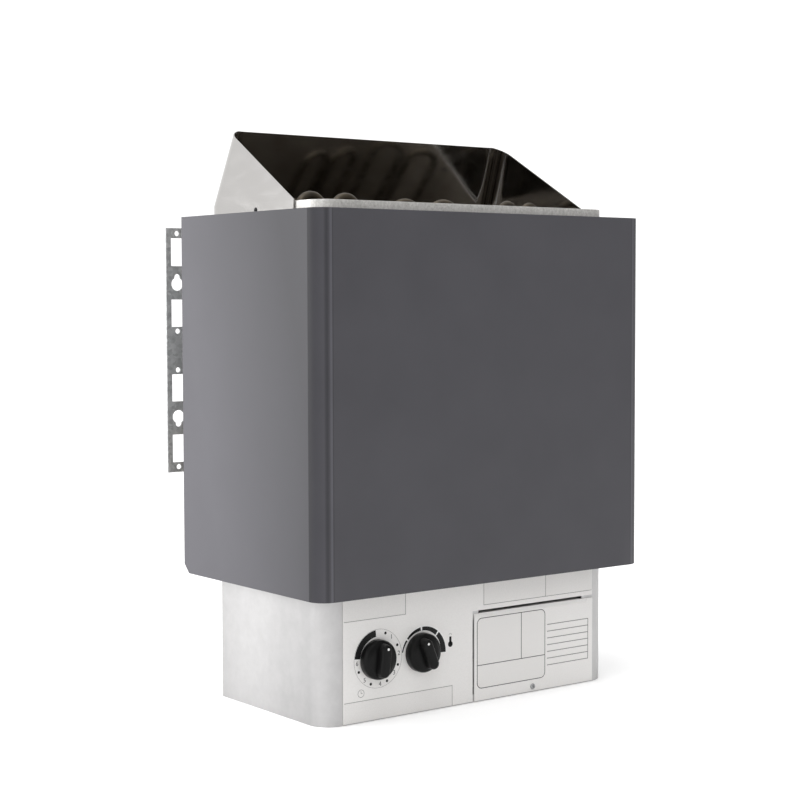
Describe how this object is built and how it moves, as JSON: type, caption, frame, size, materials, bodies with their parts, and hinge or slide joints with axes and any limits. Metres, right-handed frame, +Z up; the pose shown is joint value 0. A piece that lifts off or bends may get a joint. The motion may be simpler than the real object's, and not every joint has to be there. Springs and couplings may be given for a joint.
{
  "type": "sauna heater",
  "caption": "Wall-hung electric sauna heater: bent steel jacket around an open stone bin with tubular elements, steam deflector above, control box with knobs below, wall rack behind.",
  "frame": {"origin": "middle of the heater's box at the level of the control box's underside", "axes": "+Z up, -Y towards the user with the knobs in front, +Y towards the wall, +X to the right as seen from the front"},
  "size_m": [0.41, 0.28, 0.569],
  "materials": {
    "jacket_paint": "satin dark grey paint on steel sheet",
    "stainless": "satin stainless sheet",
    "mirror_steel": "bright polished stainless sheet",
    "galvanised": "galvanised sheet with a fine spangle",
    "panel": "silver printed sheet",
    "black_plastic": "glossy black moulding",
    "element_steel": "heat-browned tube",
    "zinc": "zinc-plated",
    "brass": "turned",
    "ceramic": "steatite, unglazed",
    "control_plastic": "moulded, matt",
    "copper": "drawn capillary tube",
    "silicone": "heat-proof insulation",
    "reset_red": "moulded"
  },
  "bodies": {
    "heater": {"outer_jacket": "jacket_paint", "jacket_spacer_left_lower": "galvanised", "jacket_spacer_left_upper": "galvanised", "jacket_spacer_right_lower": "galvanised", "jacket_spacer_right_upper": "galvanised", "base_shell": "stainless", "base_floor": "galvanised", "base_back": "stainless", "element_carrier": "galvanised", "control_panel": "panel", "terminal_cover": "panel", "cover_screw": "zinc", "timer_unit": "control_plastic", "thermostat_unit": "control_plastic", "limiter_unit": "control_plastic", "thermostat_sensor": "copper", "limiter_sensor": "copper", "sensor_clip": "stainless", "terminal_block": "ceramic", "element_lead_left": "silicone", "element_lead_middle": "silicone", "element_lead_right": "silicone", "cable_gland": "black_plastic", "gland_cap": "black_plastic", "gland_locknut": "black_plastic", "bin_shell": "stainless", "bin_back": "stainless", "bin_floor": "stainless", "heating_element_left": "element_steel", "heating_element_middle": "element_steel", "heating_element_right": "element_steel", "element_nut_left_1": "brass", "element_nut_left_2": "brass", "element_nut_middle_1": "brass", "element_nut_middle_2": "brass", "element_nut_right_1": "brass", "element_nut_right_2": "brass", "steam_deflector": "mirror_steel", "deflector_screw_left": "zinc", "deflector_screw_right": "zinc", "wall_rack": "galvanised", "hanger_left": "galvanised", "hanger_right": "galvanised", "hanger_screw_left_lower": "zinc", "hanger_screw_left_upper": "zinc", "hanger_screw_right_lower": "zinc", "hanger_screw_right_upper": "zinc", "rack_lock_screw_left": "zinc", "rack_lock_screw_right": "zinc"},
    "timer_dial": {"timer_knob": "black_plastic", "timer_shaft": "zinc"},
    "thermostat_dial": {"thermostat_knob": "black_plastic", "thermostat_shaft": "zinc"},
    "reset_button": {"reset_button": "reset_red"}
  },
  "joints": [
    {"name": "timer_turn", "type": "hinge", "parent": "heater", "child": "timer_dial", "pos_m": [-0.1219, -0.113, 0.0594], "axis": [0, 1, 0], "range_deg": [0, 315]},
    {"name": "thermostat_turn", "type": "hinge", "parent": "heater", "child": "thermostat_dial", "pos_m": [-0.0678, -0.113, 0.0594], "axis": [0, 1, 0], "range_deg": [-58, 114]},
    {"name": "reset_press", "type": "slide", "parent": "heater", "child": "reset_button", "axis": [0, 0, 1], "range_m": [0, 0.003], "stiffness_N_per_m": 400}
  ]
}
